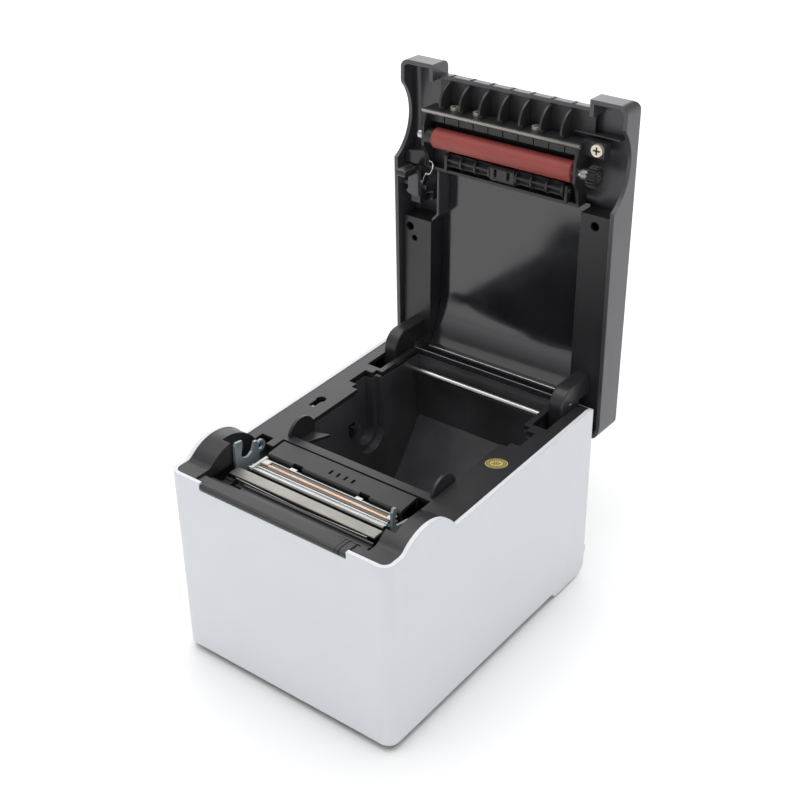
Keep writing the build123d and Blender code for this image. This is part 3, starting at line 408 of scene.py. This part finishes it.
def print_line():
    """What lies on the print head between the paper strip and the head cover."""
    bm = bmesh.new()
    crest = [(-50.3, HEAD_TOP), (-50.2, 101.9), (-49.8, 102.1), (-49.2, 102.1), (-48.8, 101.9), (-48.7, HEAD_TOP)]
    prism(bm, crest, HEAD_L + 2.5, HEAD_R - 1)
    piece("gold_line", bm, "print_head", "copper")
    # White patches on the crest of the copper line: painted glints.
    bm = bmesh.new()
    for low, high in ((HEAD_L + 7, HEAD_L + 13), (-23, -13), (-2, 3), (16, 21)):
        cuboid(bm, (low, high), (-49.7, -49.1), (102.1, 102.16))
    piece("painted_glints", bm, "print_head", "white_ceramic")
    bm = bmesh.new()
    cuboid(bm, (HEAD_L, HEAD_R - 0.5), (-46.6, -46.1), (HEAD_TOP, 102.1))
    for x in (-25.5, 15.5):
        cuboid(bm, (x - 2.0, x + 2.0), (-46.1, -44.3), (HEAD_TOP, 102.0))
    piece("head_edge", bm, "print_head", "bright_steel", bevel=0.08)
    bm = bmesh.new()
    cuboid(bm, (HEAD_L - 0.6, HEAD_L + 1.0), (-57.0, -45.0), (101.2, 102.9))
    cuboid(bm, (HEAD_L + 1.0, HEAD_L + 5.0), (-50.2, -46.8), (HEAD_TOP, 102.5))
    piece("head_end_block", bm, "print_head", "white_ceramic", bevel=0.2)
    bm = bmesh.new()
    cuboid(bm, (HEAD_R - 2.6, HEAD_R), (-50.4, -47.4), (HEAD_TOP, 102.2))
    piece("head_right_pad", bm, "print_head", "white_ceramic", bevel=0.15)
    bm = bmesh.new()
    prism(bm, [(41.1, -55.2), (41.6, -57.4), (43.2, -57.0), (43.2, -50.8), (41.1, -50.8)], 96, 104.2, "Z")
    piece("head_end_stop", bm, "base", "gear_plastic", bevel=0.3)


def platen_parts():
    """Sleeve beside the platen gear, and the collar at the roller's other end."""
    bm = bmesh.new()
    lathe(bm, PLATEN_AXIS, [(45.6, 2.45), (45.7, 2.9), (49.5, 2.9), (49.6, 2.45)])
    piece("shaft_sleeve", bm, "platen", "plate_steel", at=lid_at)
    bm = bmesh.new()
    lathe(bm, PLATEN_AXIS, [(-46.9, 2.6), (-46.9, 4.4), (-42.4, 4.4), (-42.4, 2.6)])
    piece("shaft_collar", bm, "platen", "gear_plastic", at=lid_at)


# ---------------------------------------------------------------- lid
def lip_ribs():
    """Each comb rib runs on over the rounded lip between the lid's horns."""
    count, pitch, centre, half = 7, 12.0, -3.1, 0.6
    bm = bmesh.new()
    lip = [(-82.5, 116.9), (-82.5, 119.8), (-81.3, 122.7), (-78.5, 123.9), (-76.0, 124.0)]
    lift = [(-82.9, 116.9), (-82.9, 119.9), (-81.6, 123.1), (-78.5, 124.3), (-76.0, 124.1)]
    for index in range(count):
        x = centre + (index - count // 2) * pitch
        prism(bm, lip + list(reversed(lift)), x - half, x + half)
    piece("lip_ribs", bm, "lid", "lid_plastic", at=lid_at)


def recess_shade_cross(bm, centre, face, size, axis):
    """Dark cross of painted shade that stands in for a screwdriver recess, lying just proud of a screw's face."""
    for a, b in ((size, size * 0.24), (size * 0.24, size)):
        corners = [(-a, -b), (a, -b), (a, b), (-a, b)]
        prism(bm, [(centre[0] + p, centre[1] + q) for p, q in corners], face - 0.04, face, axis)


def screw_recess_shades():
    """Painted shade of the recesses of the carrier's screws."""
    bm = bmesh.new()
    for x in (-34.4, -20.2, 14.9):
        recess_shade_cross(bm, (x, 113.6), -68.44, 1.5, "Y")
    recess_shade_cross(bm, (51.6, -64.6), 109.36, 1.9, "Z")
    piece("screw_recess_shades", bm, "lid", "black_plastic", at=lid_at)


def lever_parts():
    """Finger, hub and pad of the release lever."""
    bm = bmesh.new()
    cuboid(bm, (-57.55, -51.45), (-35.35, -31.65), (93.9, 104.6))
    piece("lever_finger", bm, "lever", "gloss_black", at=lid_at, bevel=1.9, segments=5)
    bm = bmesh.new()
    hub = [(-63.6, -38.8), (-61.6, -40.6), (-52.4, -42.6), (-50.0, -41.6), (-50.0, -33.4), (-62.4, -33.4),
           (-63.6, -34.6)]
    prism(bm, hub, 110.2, 114.6, "Z")
    piece("lever_hub", bm, "lever", "gloss_black", at=lid_at, bevel=1.4, segments=4)
    bm = bmesh.new()
    pad = [(-57.9, -31.2), (-51.4, -33.0), (-50.9, -18.4), (-53.4, -17.9), (-57.7, -18.9), (-59.2, -20.0),
           (-57.9, -21.8)]
    prism(bm, pad, 104.8, 108.0, "Z")
    piece("lever_pad", bm, "lever", "lid_plastic", at=lid_at, bevel=0.45, segments=3)


def lever_springs():
    """Wire spring beside the release lever, with its eye, and the bent catch behind the lever."""
    height = 108.2
    bm = bmesh.new()
    bends = [(-46.1, -38.4), (-44.4, -37.9), (-43.9, -37.2), (-44.2, -34.3), (-45.1, -32.1), (-46.3, -31.1),
             (-47.5, -30.7), (-48.4, -31.1), (-49.3, -29.2), (-50.5, -26.0), (-51.3, -24.0), (-52.1, -23.6)]
    wire(bm, [(x, y, height) for x, y in bends], 0.42)
    eye = [(-52.2 + 0.9 * cos(radians(a)), -25.2 + 1.4 * sin(radians(a)), height) for a in range(-60, 260, 20)]
    wire(bm, eye, 0.36)
    piece("lever_spring", bm, "lid", "spring_wire", at=lid_at, smooth=60)
    bm = bmesh.new()
    wire(bm, [(-49.6, -25.4, 112.4), (-52.4, -20.8, 112.4), (-54.8, -16.8, 112.4), (-54.2, -15.8, 112.4)], 0.7)
    wire(bm, [(-54.5, -16.8, 112.6), (-50.0, -18.6, 112.6), (-46.2, -20.0, 112.6)], 0.5)
    piece("lever_catch", bm, "lid", "lid_plastic", at=lid_at, smooth=60)


def pocket_wall():
    """Thin wall between the lever's pocket and the inner panel, and the one behind the right horn."""
    bm = bmesh.new()
    path = [(-42.2, -33.4), (-40.9, -33.4), (-40.9, -8.4), (-45.4, -3.7), (-45.4, -5.6), (-42.2, -9.0)]
    prism(bm, path, 109.6, 118.6, "Z")
    cuboid(bm, (35.0, 60.5), (-70.0, -69.2), (115.8, 121.5))
    piece("pocket_wall", bm, "lid", "lid_plastic", at=lid_at, bevel=0.2)


def panel_sheet():
    """Glossy inner skin that runs flat under the lid and sweeps down towards the hinge."""
    low, front, half_width = 118.5, -33.1, 45.35
    radius, start, sweep, steps = 43.9, 41.0, 28.5, 18
    face = [(front, low), (39.5, low)]
    for step in range(steps + 1):
        y = start + sweep * step / steps
        face.append((y, low - radius + (radius * radius - (y - start) ** 2) ** 0.5))
    foot = [(72.0, 107.5), (74.4, 107.3), (74.4, 108.0), (70.0, 109.2)]
    back = [(62.0, low + 0.05), (front, low + 0.05)]
    bm = bmesh.new()
    prism(bm, face + foot + back, -half_width, half_width)
    piece("panel_sheet", bm, "lid", "panel_gloss", at=lid_at, smooth=50)


def lid_trim():
    """Pin in the right hinge arm, and a bright steel bead along the inner panel's lower edge that stands in for a
    painted edge highlight.
    """
    bm = bmesh.new()
    lathe(bm, (65.6, 91.0), [(57.15, 0.95), (57.3, 0.95), (57.36, 0.7)], count=20)
    piece("arm_pin", bm, "lid", "spring_wire", at=lid_at)
    # Bright steel bead: a painted highlight along the panel's lower edge.
    bm = bmesh.new()
    lathe(bm, (70.2, 107.75), [(-45.0, 0.4), (45.0, 0.4)], count=16)
    piece("panel_edge_highlight", bm, "lid", "bright_steel", at=lid_at)


# ---------------------------------------------------------------- deck
def keyhole_plug():
    """White plug seen through the keyhole."""
    bm = bmesh.new()
    lathe(bm, (-56.4, 5.0), [(100.6, 1.5), (102.2, 1.5), (102.5, 1.2)], "Z", 20)
    piece("keyhole_plug", bm, "base", "white_ceramic")


def bezel_seams():
    """Two seams around the nose of the bezel's right end."""
    bm = bmesh.new()
    nose = [(-89.25, 106.4), (-89.4, 107.2), (-89.0, 108.4), (-87.65, 109.0), (-81.45, 109.0), (-79.5, 108.3),
            (-78.1, 106.5), (-77.4, 104.2), (-78.4, 104.2), (-81.5, 108.0), (-87.4, 108.0), (-88.6, 106.4)]
    prism(bm, nose, 38.85, 39.3)
    prism(bm, nose, 36.95, 37.1)
    piece("bezel_seams", bm, "base", "seam_black")


LABEL_X, LABEL_Y = 53.6, 14.2
LABEL_TURN = Matrix.Rotation(radians(32), 2)
LABEL_LONG, LABEL_SHORT = 5.6, 4.2       # half lengths of the oval
LABEL_Z, LABEL_FROM, DECK_SLOPE = 103.66, -37.9, 0.0209
INK = Vector((0, 0, 0.03))


def on_label(a, b):
    """Point on the label's face, from coordinates along its long and short axes."""
    across, along = LABEL_TURN @ Vector((a, b))
    y = LABEL_Y + along
    return Vector((LABEL_X + across, y, LABEL_Z + DECK_SLOPE * (y - LABEL_FROM)))


def on_oval(share, degrees):
    """Point on an oval that is a share of the label's size."""
    a = radians(degrees)
    return LABEL_LONG * share * cos(a), LABEL_SHORT * share * sin(a)


def stroke(bm, points, width):
    """Flat printed line along points on the label."""
    points = [Vector(point) for point in points]
    loops = []
    for i, point in enumerate(points):
        ahead = (points[min(i + 1, len(points) - 1)] - points[max(i - 1, 0)]).normalized()
        side = Vector((-ahead.y, ahead.x)) * width / 2
        loops.append([bm.verts.new(on_label(*(point + side)) + INK), bm.verts.new(on_label(*(point - side)) + INK)])
    for low, high in zip(loops, loops[1:]):
        bm.faces.new((low[0], low[1], high[1], high[0]))


def label_print():
    """Generic pattern of the inspection label: two rings, ticks between them and rows of dashes."""
    bm = bmesh.new()
    for share in (0.88, 0.62):
        stroke(bm, [on_oval(share, a) for a in range(0, 361, 10)], 0.34)
    dashes = 5
    for row in (-1.1, 0.0, 1.1):
        half = 2.4 - abs(row) * 0.7
        for dash in range(dashes):
            start = -half + 2 * half * dash / dashes
            stroke(bm, [(start, row), (start + 2 * half / dashes - 0.25, row)], 0.75)
    for angle in range(0, 360, 15):
        stroke(bm, [on_oval(0.69, angle), on_oval(0.81, angle)], 0.5)
    piece("label_print", bm, "base", "label_ink")


lip_ribs()
screw_recess_shades()
platen_parts()
lever_parts()
lever_springs()
pocket_wall()
panel_sheet()
keyhole_plug()
lid_trim()
bezel_seams()
label_print()
print_line()
dress_all()
add_camera()
add_world()
add_lights()
add_floor()
